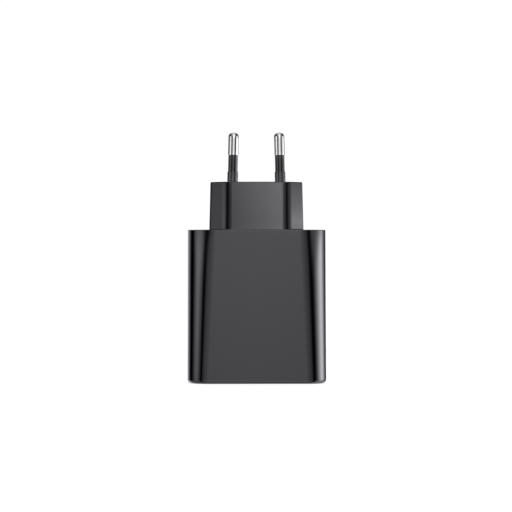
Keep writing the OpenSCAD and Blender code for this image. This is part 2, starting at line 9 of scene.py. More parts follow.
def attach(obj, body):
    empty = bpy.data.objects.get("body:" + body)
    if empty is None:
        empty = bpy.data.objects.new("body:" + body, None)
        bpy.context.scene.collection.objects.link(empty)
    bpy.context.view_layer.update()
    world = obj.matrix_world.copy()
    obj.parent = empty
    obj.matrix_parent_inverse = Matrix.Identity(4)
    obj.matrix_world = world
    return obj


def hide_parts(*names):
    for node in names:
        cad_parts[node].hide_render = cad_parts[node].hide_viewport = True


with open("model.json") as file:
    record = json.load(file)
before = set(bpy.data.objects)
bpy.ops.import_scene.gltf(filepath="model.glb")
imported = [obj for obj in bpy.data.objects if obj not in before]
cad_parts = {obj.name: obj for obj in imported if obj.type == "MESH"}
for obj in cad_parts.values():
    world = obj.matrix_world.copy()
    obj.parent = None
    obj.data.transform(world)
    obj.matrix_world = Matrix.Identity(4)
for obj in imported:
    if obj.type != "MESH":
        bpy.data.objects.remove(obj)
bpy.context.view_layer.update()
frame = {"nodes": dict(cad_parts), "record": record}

ROOT = "charger"
MM = 0.001

# Sizes of the casing, the plug and the pins, in millimetres, the same as in the CAD model
BODY_W, BODY_W_TOP = 53.2, 53.0
BODY_D, BODY_D_TOP = 28.0, 27.6
BODY_H = 58.9
CORNER_R, CORNER_R_TOP = 7.7, 10.6
EDGE_R = 1.6
WALL, RIM_T, COVER_T, SEAM = 2.0, 1.0, 2.0, 0.08
NECK_W, NECK_D, NECK_H = 35.5, 13.7, 18.5
NECK_DRAFT = math.radians(1.0)
NECK_EDGE_R, NECK_TIP_R, NECK_TOP_R, NECK_WALL = 5.2, 2.2, 0.4, 1.8
FACE_T = 3.0
FACE_Z = BODY_H + NECK_H
PIN_PITCH, PIN_PITCH_TIP, PIN_LEN = 18.4, 17.5, 19.1
PIN_TILT = math.atan((PIN_PITCH - PIN_PITCH_TIP) / 2 / PIN_LEN)
PIN_R, NOSE_R, CORE_R = 2.0, 1.5, 1.5
SLEEVE_LEN, FOOT_LEN, FOOT_R, SLEEVE_R = 10.4, 4.0, 2.07, 1.84
TAIL_LEN, COLLAR_R, COLLAR_T, COLLAR_GAP = 12.0, 2.6, 1.0, 0.1
SKIRT_T, SKIRT_H = 1.0, 3.0
USB_A_X, USB_C_X = -8.5, 10.0
A_OUTSIDE, A_CORNER_R = (13.1, 5.72), 0.7
C_OUTSIDE, C_CORNER_R = (8.94, 3.16), 1.57

# How finely round shapes are divided: a corner of the casing, the plug's front edges and its side points,
# a corner of a socket's hole, and a full turn of a pin and of its hole
CORNER_STEPS = 20
NECK_EDGE_STEPS, NECK_TIP_STEPS = 14, 16
WINDOW_STEPS = 8
PIN_STEPS, PIN_HOLE_STEPS = 72, 48


# ---------- Mesh tools (millimetres in, metres out) ----------

def make_object(name, bm, sharp=30.0, weighted=True):
    """Turns a bmesh in millimetres into an object with smooth shading and marked hard edges."""
    bmesh.ops.recalc_face_normals(bm, faces=bm.faces)
    bmesh.ops.scale(bm, vec=(MM, MM, MM), verts=bm.verts)
    mesh = bpy.data.meshes.new(name)
    bm.to_mesh(mesh)
    bm.free()
    mesh.shade_smooth()
    mesh.set_sharp_from_angle(angle=math.radians(sharp))
    obj = bpy.data.objects.new(name, mesh)
    bpy.context.scene.collection.objects.link(obj)
    if weighted:
        mod = obj.modifiers.new("weighted", "WEIGHTED_NORMAL")
        mod.keep_sharp = True
        mod.weight = 100
    return obj


def arc(cx, cy, r, start, end, steps):
    """Points on an arc, in degrees, both ends included."""
    angles = [math.radians(start + (end - start) * i / steps) for i in range(steps + 1)]
    return [(cx + r * math.cos(a), cy + r * math.sin(a)) for a in angles]


def add_loop(bm, points):
    """New vertices at a ring of points."""
    return [bm.verts.new(p) for p in points]


def bridge(bm, low, high):
    """Joins two loops of the same length with quads."""
    for i in range(len(low)):
        j = (i + 1) % len(low)
        bm.faces.new((low[i], low[j], high[j], high[i]))


def loft(bm, rings, first=None):
    """Quads through a list of rings of points; first is an existing loop to start from."""
    loops = [first] if first else []
    loops += [add_loop(bm, ring) for ring in rings]
    for low, high in zip(loops, loops[1:]):
        bridge(bm, low, high)
    return loops


def fill_flat(bm, *loops):
    """Fills the flat region between an outer loop and any holes in it."""
    edges = []
    for loop in loops:
        for i, v in enumerate(loop):
            w = loop[(i + 1) % len(loop)]
            edges.append(bm.edges.get((v, w)) or bm.edges.new((v, w)))
    bmesh.ops.triangle_fill(bm, edges=edges, use_beauty=True, use_dissolve=False, normal=(0, 0, 1))


def blend(a, b, t):
    """The value t of the way from a to b."""
    return a + (b - a) * t


def quarter(steps):
    """Angles of a quarter turn, in radians, both ends included."""
    return [math.pi / 2 * i / steps for i in range(steps + 1)]


def turn(steps):
    """Angles of a full turn, in radians, without the last, which is the first again."""
    return [2 * math.pi * i / steps for i in range(steps)]


# ---------- Outlines ----------

def casing_ring(z, inset):
    """The casing's outline at height z, moved in by inset."""
    t = z / BODY_H
    r = blend(CORNER_R, CORNER_R_TOP, t)
    cx = blend(BODY_W, BODY_W_TOP, t) / 2 - r
    cy = blend(BODY_D, BODY_D_TOP, t) / 2 - r
    points = []
    for k, (sx, sy) in enumerate(((1, -1), (1, 1), (-1, 1), (-1, -1))):
        points += arc(sx * cx, sy * cy, r - inset, 90 * k - 90, 90 * k, CORNER_STEPS)
    return [(x, y, z) for x, y in points]


def neck_ring(z, inset):
    """The plug's six-sided outline at height z, moved in by inset."""
    grow = (FACE_Z - z) * math.tan(NECK_DRAFT) - inset
    half = NECK_D / 2 + grow
    point = NECK_W / 2 + NECK_TIP_R * (math.sqrt(2) - 1) + grow * math.sqrt(2)
    least_edge, least_tip = 0.5, 0.3
    edge = max(NECK_EDGE_R - inset, least_edge)
    tip = max(NECK_TIP_R - inset, least_tip)
    tip_x = point - tip * math.sqrt(2)
    edge_x = point - half + edge - edge * math.sqrt(2)
    edge_y = half - edge
    points = arc(edge_x, -edge_y, edge, 270, 315, NECK_EDGE_STEPS)
    points += arc(tip_x, 0, tip, -45, 45, NECK_TIP_STEPS)
    points += arc(edge_x, edge_y, edge, 45, 90, NECK_EDGE_STEPS)
    points += arc(-edge_x, edge_y, edge, 90, 135, NECK_EDGE_STEPS)
    points += arc(-tip_x, 0, tip, 135, 225, NECK_TIP_STEPS)
    points += arc(-edge_x, -edge_y, edge, 225, 270, NECK_EDGE_STEPS)
    return [(x, y, z) for x, y in points]


def rect_ring(x, z, size, r):
    """A rounded rectangle at height z, centred on x."""
    points = []
    for k, (sx, sy) in enumerate(((1, -1), (1, 1), (-1, 1), (-1, -1))):
        points += arc(sx * (size[0] / 2 - r), sy * (size[1] / 2 - r), r, 90 * k - 90, 90 * k, WINDOW_STEPS)
    return [(x + px, py, z) for px, py in points]


def pin_matrix(side):
    """Places a pin at its foot, with +Z along it; side is -1 for live and 1 for neutral."""
    place = Matrix.Translation((side * PIN_PITCH / 2, 0, FACE_Z))
    return place @ Matrix.Rotation(-side * PIN_TILT, 4, "Y")


def lathe(name, profile, side):
    """Turns a profile of (radius, height) points about a pin's axis. A radius of 0 is a single point."""
    bm = bmesh.new()
    place = pin_matrix(side)
    loops = []
    for r, z in profile:
        if r == 0:
            loops.append([bm.verts.new(place @ Vector((0, 0, z)))])
            continue
        ring = [place @ Vector((r * math.cos(a), r * math.sin(a), z)) for a in turn(PIN_STEPS)]
        loops.append(add_loop(bm, ring))
    for low, high in zip(loops, loops[1:]):
        if len(low) > 1 and len(high) > 1:
            bridge(bm, low, high)
            continue
        tip, ring = (low[0], high) if len(low) == 1 else (high[0], low)
        for i in range(PIN_STEPS):
            bm.faces.new((tip, ring[i], ring[(i + 1) % PIN_STEPS]))
    return make_object(name, bm)


# ---------- Casing ----------

def window_rings(x, size, r):
    """Outlines of a socket's hole, from the port face inwards: a chamfered recess, then the hole itself."""
    flat, recess, recess_z, chamfer = 0.9, 0.5, 0.35, 0.12
    gap, lead_in = 0.15, 0.05

    def grown(g, z):
        return rect_ring(x, z, (size[0] + 2 * g, size[1] + 2 * g), r + g)

    return [grown(flat, 0), grown(recess + chamfer, 0), grown(recess, chamfer), grown(recess, recess_z),
            grown(gap + lead_in, recess_z), grown(gap, recess_z + lead_in), grown(gap, WALL)]


def build_housing():
    """The casing's body as one skin: port face, sides, rim, ledge for the plug cover, and the inside."""
    bm = bmesh.new()
    lip, inner_lip, side_rows, inside_rows = 0.22, 0.12, 12, 8
    flat_ring, edge_ring, floor_ring = 0.6, 0.05, 1.0
    base = [casing_ring(0, EDGE_R + flat_ring), casing_ring(0, EDGE_R + edge_ring)]
    base += [casing_ring(EDGE_R * (1 - math.cos(a)), EDGE_R * (1 - math.sin(a))) for a in quarter(12)]
    sides = [casing_ring(BODY_H * i / side_rows, 0) for i in range(1, side_rows)]
    top = [casing_ring(BODY_H - lip + lip * math.sin(a), lip * (1 - math.cos(a))) for a in quarter(5)]
    top += [casing_ring(BODY_H - inner_lip * (1 - math.cos(a)), RIM_T - inner_lip * (1 - math.sin(a)))
            for a in quarter(4)]
    ledge_z = BODY_H - COVER_T
    inside = [casing_ring(ledge_z, RIM_T), casing_ring(ledge_z, WALL)]
    inner_r = 1.0
    inside += [casing_ring(blend(ledge_z, WALL + inner_r, i / inside_rows), WALL)
               for i in range(1, inside_rows + 1)]
    inside += [casing_ring(WALL + inner_r * (1 - math.sin(a)), WALL + inner_r * (1 - math.cos(a)))
               for a in quarter(6)[1:]]
    inside.append(casing_ring(WALL, WALL + inner_r + floor_ring))
    loops = loft(bm, base + sides + top + inside)
    holes = [loft(bm, window_rings(USB_A_X, A_OUTSIDE, A_CORNER_R)),
             loft(bm, window_rings(USB_C_X, C_OUTSIDE, C_CORNER_R))]
    fill_flat(bm, loops[0], holes[0][0], holes[1][0])
    fill_flat(bm, loops[-1], holes[0][-1], holes[1][-1])
    return make_object("casing_body", bm, sharp=35)


def add_box(bm, size, at, edge=0.12):
    """A block centred on at in X and Y, standing on at's height, with small bevelled edges."""
    made = bmesh.ops.create_cube(bm, size=1.0)
    for v in made["verts"]:
        v.co = Vector((v.co.x * size[0] + at[0], v.co.y * size[1] + at[1],
                       (v.co.z + 0.5) * size[2] + at[2]))
    edges = {e for v in made["verts"] for e in v.link_edges}
    bmesh.ops.bevel(bm, geom=list(edges), offset=edge, segments=2, affect="EDGES", profile=0.5)


def build_ribs():
    """The rails that hold the main board and the pillars that carry the port board."""
    bm = bmesh.new()
    rail, rail_x, rail_z, rail_sides = (3.2, 0.7, 31), 21.6, 18.4, (6.95, 9.45)
    pillar, pillar_x, pillar_y, pillar_z = (3, 3, 12.6), 19.5, 7, 1.8
    for sx in (-1, 1):
        for y in rail_sides:
            add_box(bm, rail, (sx * rail_x, y, rail_z))
        for sy in (-1, 1):
            add_box(bm, pillar, (sx * pillar_x, sy * pillar_y, pillar_z))
    return make_object("casing_ribs", bm)


def pin_hole_rings(side):
    """Outlines of a pin's hole in the engagement face, from outside to inside. Both faces stay flat."""
    place = pin_matrix(side)
    relief_r, relief_depth, lip = FOOT_R + 0.28, 0.3, 0.1
    flat, hole_r = 0.5, FOOT_R + 0.02
    rows = [(relief_r + flat, 0), (relief_r + lip, 0), (relief_r, -lip), (relief_r, -relief_depth),
            (hole_r, -relief_depth), (hole_r, -FACE_T)]
    rings = []
    for k, (r, h) in enumerate(rows):
        ring = [place @ Vector((r * math.cos(a), r * math.sin(a), h)) for a in turn(PIN_HOLE_STEPS)]
        flat_z = {0: FACE_Z, 1: FACE_Z, len(rows) - 1: FACE_Z - FACE_T}.get(k)
        if flat_z is not None:
            ring = [Vector((p.x, p.y, flat_z)) for p in ring]
        rings.append(ring)
    return rings


def build_plug_cover():
    """The plug cover as one skin: the plate with its skirt, the hexagonal plug, and the two pin holes."""
    bm = bmesh.new()
    plate_in = RIM_T + SEAM
    skirt_in = WALL + SEAM
    under_z = BODY_H - COVER_T
    skirt_z = under_z - SKIRT_H
    lip, fillet, flat_ring = 0.15, 0.35, 0.5
    # The plug, from the fillet at its foot to the rounded edge of the engagement face
    neck = [[(p[0], p[1], BODY_H) for p in neck_ring(BODY_H, -fillet - flat_ring)]]
    neck += [neck_ring(BODY_H + fillet * (1 - math.cos(a)), -fillet * (1 - math.sin(a)))
             for a in quarter(6)]
    neck += [neck_ring(blend(BODY_H + fillet, FACE_Z - NECK_TOP_R, i / 6), 0) for i in range(1, 6)]
    neck += [neck_ring(FACE_Z - NECK_TOP_R * (1 - math.sin(a)), NECK_TOP_R * (1 - math.cos(a)))
             for a in quarter(8)]
    neck.append([(p[0], p[1], FACE_Z) for p in neck_ring(FACE_Z, NECK_TOP_R + flat_ring)])
    neck_loops = loft(bm, neck)
    # The plate and its skirt, from the plate's flat top round to its underside
    plate = [casing_ring(BODY_H, plate_in + lip + flat_ring), casing_ring(BODY_H, plate_in + lip)]
    plate += [casing_ring(BODY_H - lip * (1 - math.cos(a)), plate_in + lip * (1 - math.sin(a)))
              for a in quarter(4)[1:]]
    plate += [casing_ring(under_z, plate_in), casing_ring(under_z, skirt_in),
              casing_ring(skirt_z, skirt_in), casing_ring(skirt_z, skirt_in + SKIRT_T),
              casing_ring(under_z, skirt_in + SKIRT_T)]
    plate_loops = loft(bm, plate)
    inner = loft(bm, [neck_ring(blend(under_z, FACE_Z - FACE_T, i / 5), NECK_WALL) for i in range(6)])
    holes = [loft(bm, pin_hole_rings(side)) for side in (-1, 1)]
    fill_flat(bm, plate_loops[0], neck_loops[0])
    fill_flat(bm, neck_loops[-1], holes[0][0], holes[1][0])
    fill_flat(bm, plate_loops[-1], inner[0])
    fill_flat(bm, inner[-1], holes[0][-1], holes[1][-1])
    return make_object("plug_body", bm, sharp=35)


# ---------- Mains pins ----------

def build_pin(side, name):
    """A turned pin from its tail inside the plug, past the collar and the sleeved core, to the nose."""
    tail_edge, collar_edge, shoulder_edge = 0.3, 0.1, 0.08
    rim_r, collar_low = COLLAR_R - collar_edge, -FACE_T - COLLAR_GAP - COLLAR_T
    collar_top = collar_low + COLLAR_T
    profile = [(0, -TAIL_LEN), (CORE_R - tail_edge, -TAIL_LEN), (CORE_R, -TAIL_LEN + tail_edge)]
    profile += [(CORE_R, collar_low), (rim_r, collar_low), (COLLAR_R, collar_low + collar_edge),
                (COLLAR_R, collar_top - collar_edge), (rim_r, collar_top), (CORE_R, collar_top)]
    shoulder_z = SLEEVE_LEN + shoulder_edge
    profile += [(CORE_R, SLEEVE_LEN), (PIN_R - shoulder_edge, SLEEVE_LEN), (PIN_R, shoulder_z)]
    # The nose rounds over to a slightly domed tip
    nose_z, flat, dome = PIN_LEN - NOSE_R, PIN_R - NOSE_R, 0.04
    profile += [(PIN_R, blend(shoulder_z, nose_z, i / 6)) for i in range(1, 6)]
    profile += [(flat + NOSE_R * math.cos(a), nose_z + NOSE_R * math.sin(a) * (1 - dome))
                for a in quarter(16)]
    profile += [(flat * (1 - i / 4), nose_z + NOSE_R * (1 - dome + dome * math.sin(a)))
                for i, a in enumerate(quarter(4)) if i]
    return lathe(name, profile, side)


def build_sleeve(side, name):
    """The moulded sleeve: a thicker foot with a rounded shoulder, and the thin part round the core."""
    bead, step, end_edge = 0.09, 0.05, 0.06
    profile = [(CORE_R, -FACE_T), (FOOT_R, -FACE_T), (FOOT_R, FOOT_LEN - bead)]
    profile += [(FOOT_R - bead * (1 - math.cos(a)), FOOT_LEN - bead + bead * math.sin(a))
                for a in quarter(4)[1:]]
    profile += [(SLEEVE_R + 0.04, FOOT_LEN), (SLEEVE_R, FOOT_LEN + step), (SLEEVE_R, SLEEVE_LEN - end_edge),
                (SLEEVE_R - end_edge, SLEEVE_LEN), (CORE_R, SLEEVE_LEN), (CORE_R, -FACE_T)]
    return lathe(name, profile, side)


# ---------- Materials ----------

def shader_tree(name):
    """A new material with its node tree and its main shader."""
    mat = bpy.data.materials.new(name)
    mat.use_nodes = True
    tree = mat.node_tree
    return mat, tree, tree.nodes["Principled BSDF"]


def node_of(tree, kind, **values):
    """A node with its properties and input values set by name."""
    made = tree.nodes.new(kind)
    for key, value in values.items():
        if hasattr(made, key):
            setattr(made, key, value)
        else:
            made.inputs[key.replace("_", " ")].default_value = value
    return made


def noise_of(tree, scale, detail=3.0, stretch=(1, 1, 1), distortion=0.0):
    """Noise in the object's own coordinates; scale is per metre."""
    coords = node_of(tree, "ShaderNodeTexCoord")
    mapping = node_of(tree, "ShaderNodeMapping")
    mapping.inputs["Scale"].default_value = stretch
    tree.links.new(coords.outputs["Object"], mapping.inputs["Vector"])
    made = node_of(tree, "ShaderNodeTexNoise", Scale=scale, Detail=detail, Distortion=distortion)
    tree.links.new(mapping.outputs["Vector"], made.inputs["Vector"])
    return made.outputs["Fac"]


def spread(tree, source, low, high, start=0.3, end=0.7):
    """Maps a noise value from start..end to low..high."""
    made = node_of(tree, "ShaderNodeMapRange")
    made.inputs["From Min"].default_value = start
    made.inputs["From Max"].default_value = end
    made.inputs["To Min"].default_value = low
    made.inputs["To Max"].default_value = high
    tree.links.new(source, made.inputs["Value"])
    return made.outputs["Result"]


def mix_colours(tree, factor, low, high):
    """Mixes two colours, each a plain colour or another node's output."""
    made = tree.nodes.new("ShaderNodeMix")
    made.data_type = "RGBA"
    tree.links.new(factor, made.inputs["Factor"])
    for socket, value in ((made.inputs[6], low), (made.inputs[7], high)):
        if isinstance(value, bpy.types.NodeSocket):
            tree.links.new(value, socket)
        else:
            socket.default_value = (*value, 1)
    return made.outputs[2]


def edge_highlight_mask(tree, sharpness=0.04):
    """A painted highlight: bright on convex edges."""
    geometry = node_of(tree, "ShaderNodeNewGeometry")
    flat = 0.5  # the Pointiness of a flat surface
    return spread(tree, geometry.outputs["Pointiness"], 0.0, 1.0, flat + sharpness * 0.4,
                  flat + sharpness * 2)


def finish_surface(name, base, rough, metallic=0.0, tone=0.15, rough_spread=0.25, grain=2500.0,
                   stretch=(1, 1, 1), bump=0.0006, bump_scale=6000.0, edge=None):
    """A moulded or metal surface: two close tones, uneven roughness, fine bump and a painted highlight on
    convex edges.
    """
    mat, tree, bsdf = shader_tree(name)
    links = tree.links
    bsdf.inputs["Metallic"].default_value = metallic
    tones = noise_of(tree, grain / 8, detail=4, stretch=stretch)
    low = tuple(c * (1 - tone) for c in base)
    high = tuple(min(c * (1 + tone), 1.0) for c in base)
    colour = mix_colours(tree, spread(tree, tones, 0, 1), low, high)
    # The edge colour is a painted highlight laid over the convex edges.
    if edge:
        colour = mix_colours(tree, edge_highlight_mask(tree), colour, edge)
    links.new(colour, bsdf.inputs["Base Color"])
    scuffs = noise_of(tree, grain, detail=5, stretch=stretch, distortion=0.3)
    links.new(spread(tree, scuffs, rough * (1 - rough_spread), rough * (1 + rough_spread)),
              bsdf.inputs["Roughness"])
    texture = noise_of(tree, bump_scale, detail=3, stretch=stretch)
    relief = node_of(tree, "ShaderNodeBump", Strength=0.6, Distance=bump * MM)
    links.new(texture, relief.inputs["Height"])
    links.new(relief.outputs["Normal"], bsdf.inputs["Normal"])
    return mat


def gloss_shell(name, base, rough, specular=0.5, ripple=0.35):
    """High-gloss black moulding: a faint ripple from the mould, dust-fine haze and a painted highlight
    along the convex edges.
    """
    mat, tree, bsdf = shader_tree(name)
    links = tree.links
    bsdf.inputs["Specular IOR Level"].default_value = specular
    bsdf.inputs["IOR"].default_value = 1.5
    haze = noise_of(tree, 90.0, detail=5, distortion=0.6)
    colour = mix_colours(tree, spread(tree, haze, 0, 1), tuple(c * 0.8 for c in base),
                         tuple(c * 1.2 for c in base))
    # The convex edges are painted lighter: a painted highlight.
    colour = mix_colours(tree, edge_highlight_mask(tree, 0.06), colour, tuple(c * 2.2 + 0.003 for c in base))
    links.new(colour, bsdf.inputs["Base Color"])
    smears = noise_of(tree, 140.0, detail=6, stretch=(1, 1, 0.45), distortion=1.2)
    links.new(spread(tree, smears, rough * 0.85, rough * 1.25), bsdf.inputs["Roughness"])
    wave = noise_of(tree, 55.0, detail=1, stretch=(1, 1, 0.5))
    relief = node_of(tree, "ShaderNodeBump", Strength=ripple, Distance=0.02 * MM)
    links.new(wave, relief.inputs["Height"])
    peel = noise_of(tree, 2600.0, detail=2)
    fine = node_of(tree, "ShaderNodeBump", Strength=0.25, Distance=0.0006 * MM)
    links.new(peel, fine.inputs["Height"])
    links.new(relief.outputs["Normal"], fine.inputs["Normal"])
    links.new(fine.outputs["Normal"], bsdf.inputs["Normal"])
    return mat


def coil_surface(name, base, pitch_mm, metallic=0.0, rough=0.3):
    """Wound wire: close windings stacked along Z, each winding a little different in tone, with painted
    shade in the grooves between them.
    """
    mat, tree, bsdf = shader_tree(name)
    links = tree.links
    bsdf.inputs["Metallic"].default_value = metallic
    coords = node_of(tree, "ShaderNodeTexCoord")
    wave = node_of(tree, "ShaderNodeTexWave", wave_type="BANDS", bands_direction="Z")
    # A wave of scale 1 repeats every 2 pi / 20 m, so this one repeats at every second turn
    wave.inputs["Scale"].default_value = math.pi / 20 / (pitch_mm * MM)
    wave.inputs["Distortion"].default_value = 0.4
    wave.inputs["Detail"].default_value = 1.0
    links.new(coords.outputs["Object"], wave.inputs["Vector"])
    # The dark part of each band is painted shade in the groove between two windings, where the bump is
    # lowest.
    turns_with_painted_shade = mix_colours(tree, spread(tree, wave.outputs["Fac"], 0, 1, 0.1, 0.6),
                        tuple(c * 0.35 for c in base), base)
    tones = mix_colours(tree, spread(tree, noise_of(tree, 700.0, stretch=(0.2, 0.2, 3)), 0, 0.4), turns_with_painted_shade,
                        tuple(min(c * 1.4, 1) for c in base))
    links.new(tones, bsdf.inputs["Base Color"])
    links.new(spread(tree, noise_of(tree, 2500.0), rough * 0.7, rough * 1.4), bsdf.inputs["Roughness"])
    relief = node_of(tree, "ShaderNodeBump", Strength=0.9, Distance=0.08 * MM)
    links.new(wave.outputs["Fac"], relief.inputs["Height"])
    links.new(relief.outputs["Normal"], bsdf.inputs["Normal"])
    return mat


def board_surface(name):
    """Green solder mask over copper: darker bare laminate between wide copper areas, and fine weave."""
    mat, tree, bsdf = shader_tree(name)
    links = tree.links
    coords = node_of(tree, "ShaderNodeTexCoord")
    areas = node_of(tree, "ShaderNodeTexVoronoi", feature="DISTANCE_TO_EDGE", Scale=190.0)
    links.new(coords.outputs["Object"], areas.inputs["Vector"])
    gap = spread(tree, areas.outputs["Distance"], 0, 1, 0.03, 0.06)
    colour = mix_colours(tree, gap, (0.012, 0.06, 0.022), (0.02, 0.16, 0.05))
    colour = mix_colours(tree, spread(tree, noise_of(tree, 5000.0), 0, 0.35), colour, (0.03, 0.2, 0.07))
    links.new(colour, bsdf.inputs["Base Color"])
    links.new(spread(tree, noise_of(tree, 900.0), 0.25, 0.42), bsdf.inputs["Roughness"])
    relief = node_of(tree, "ShaderNodeBump", Strength=0.5, Distance=0.03 * MM)
    links.new(gap, relief.inputs["Height"])
    links.new(relief.outputs["Normal"], bsdf.inputs["Normal"])
    return mat


# The way that brushing and drawing marks run, along Z
ALONG_Z = (1, 1, 0.06)

# The finish of each kind of plain surface: what finish_surface is given for it; edge is the colour of the
# painted highlight on the convex edges
FINISHES = {
    "pin_metal": dict(base=(0.44, 0.44, 0.425), rough=0.12, metallic=1.0, tone=0.05, grain=5200.0,
                      stretch=ALONG_Z, bump=0.0015, bump_scale=9000.0, edge=(0.55, 0.55, 0.53)),
    "sleeve_plastic": dict(base=(0.004, 0.004, 0.005), rough=0.09, tone=0.2, grain=3000.0,
                           stretch=ALONG_Z, bump=0.0012, edge=(0.05, 0.05, 0.052)),
    "spring_brass": dict(base=(0.72, 0.52, 0.2), rough=0.28, metallic=1.0, grain=4000.0,
                         stretch=ALONG_Z, edge=(0.85, 0.68, 0.35)),
    "fuse_body": dict(base=(0.1, 0.055, 0.035), rough=0.4, edge=(0.22, 0.14, 0.1)),
    "thermistor_coat": dict(base=(0.03, 0.055, 0.04), rough=0.35, bump=0.02, bump_scale=1800.0,
                            edge=(0.09, 0.13, 0.1)),
    "ferrite": dict(base=(0.055, 0.056, 0.06), rough=0.55, tone=0.3, bump=0.012, bump_scale=4000.0,
                    edge=(0.16, 0.16, 0.17)),
    "film_capacitor": dict(base=(0.72, 0.46, 0.04), rough=0.3, tone=0.08, bump=0.004,
                           edge=(0.85, 0.62, 0.15)),
    "ic_plastic": dict(base=(0.018, 0.018, 0.02), rough=0.5, tone=0.3, bump=0.008,
                       edge=(0.07, 0.07, 0.075)),
    "can_aluminium": dict(base=(0.77, 0.78, 0.79), rough=0.28, metallic=1.0, tone=0.06, grain=5000.0,
                          stretch=(1, 0.06, 1), bump=0.004, edge=(0.9, 0.9, 0.9)),
    "can_sleeve": dict(base=(0.02, 0.028, 0.05), rough=0.22, tone=0.25, bump=0.006,
                       edge=(0.1, 0.12, 0.18)),
    "bung_rubber": dict(base=(0.022, 0.022, 0.022), rough=0.7, tone=0.3, bump=0.01),
    "blue_ceramic": dict(base=(0.02, 0.13, 0.42), rough=0.3, bump=0.02, bump_scale=1600.0,
                         edge=(0.12, 0.26, 0.55)),
    "coupler_plastic": dict(base=(0.72, 0.72, 0.67), rough=0.42, tone=0.05, bump=0.008,
                            edge=(0.85, 0.85, 0.8)),
    "bobbin_plastic": dict(base=(0.022, 0.022, 0.026), rough=0.4, tone=0.25, bump=0.006,
                           edge=(0.08, 0.08, 0.09)),
    "tape": dict(base=(0.74, 0.56, 0.05), rough=0.16, tone=0.1, stretch=(1, 1, 6), bump=0.008,
                 bump_scale=900.0),
    "tinned_wire": dict(base=(0.66, 0.66, 0.67), rough=0.3, metallic=1.0, tone=0.1, bump=0.01,
                        bump_scale=3000.0),
    "resistor_ceramic": dict(base=(0.025, 0.025, 0.03), rough=0.35, edge=(0.5, 0.5, 0.5)),
    "capacitor_ceramic": dict(base=(0.42, 0.3, 0.2), rough=0.45, tone=0.1, edge=(0.6, 0.5, 0.4)),
    "sheet_plastic": dict(base=(0.78, 0.75, 0.63), rough=0.4, tone=0.04, bump=0.01, bump_scale=1500.0),
    "socket_steel": dict(base=(0.68, 0.68, 0.7), rough=0.24, metallic=1.0, tone=0.07, grain=4500.0,
                         stretch=ALONG_Z, bump=0.004, edge=(0.88, 0.88, 0.9)),
    "tongue_white": dict(base=(0.8, 0.79, 0.75), rough=0.42, tone=0.04, bump=0.006,
                         edge=(0.9, 0.89, 0.85)),
    "tongue_black": dict(base=(0.016, 0.016, 0.018), rough=0.4, tone=0.25, bump=0.006,
                         edge=(0.06, 0.06, 0.065)),
    "contact_gold": dict(base=(0.86, 0.62, 0.24), rough=0.2, metallic=1.0, tone=0.08, grain=5000.0,
                         stretch=ALONG_Z, bump=0.003, edge=(0.95, 0.8, 0.5)),
}


def make_materials():
    """Every material by the name of its slot."""
    special = {
        "housing_gloss": gloss_shell("housing_gloss", (0.0022, 0.0022, 0.0034), 0.05),
        "plug_gloss": gloss_shell("plug_gloss", (0.0035, 0.0036, 0.0046), 0.06, specular=0.35, ripple=0.2),
        "board": board_surface("board"),
        "copper_wire": coil_surface("copper_wire", (0.62, 0.2, 0.07), 0.3, metallic=0.85, rough=0.28),
        "triple_wire": coil_surface("triple_wire", (0.72, 0.44, 0.07), 0.6, rough=0.35),
    }
    return special | {name: finish_surface(name, **finish) for name, finish in FINISHES.items()}


# ---------- Studio ----------

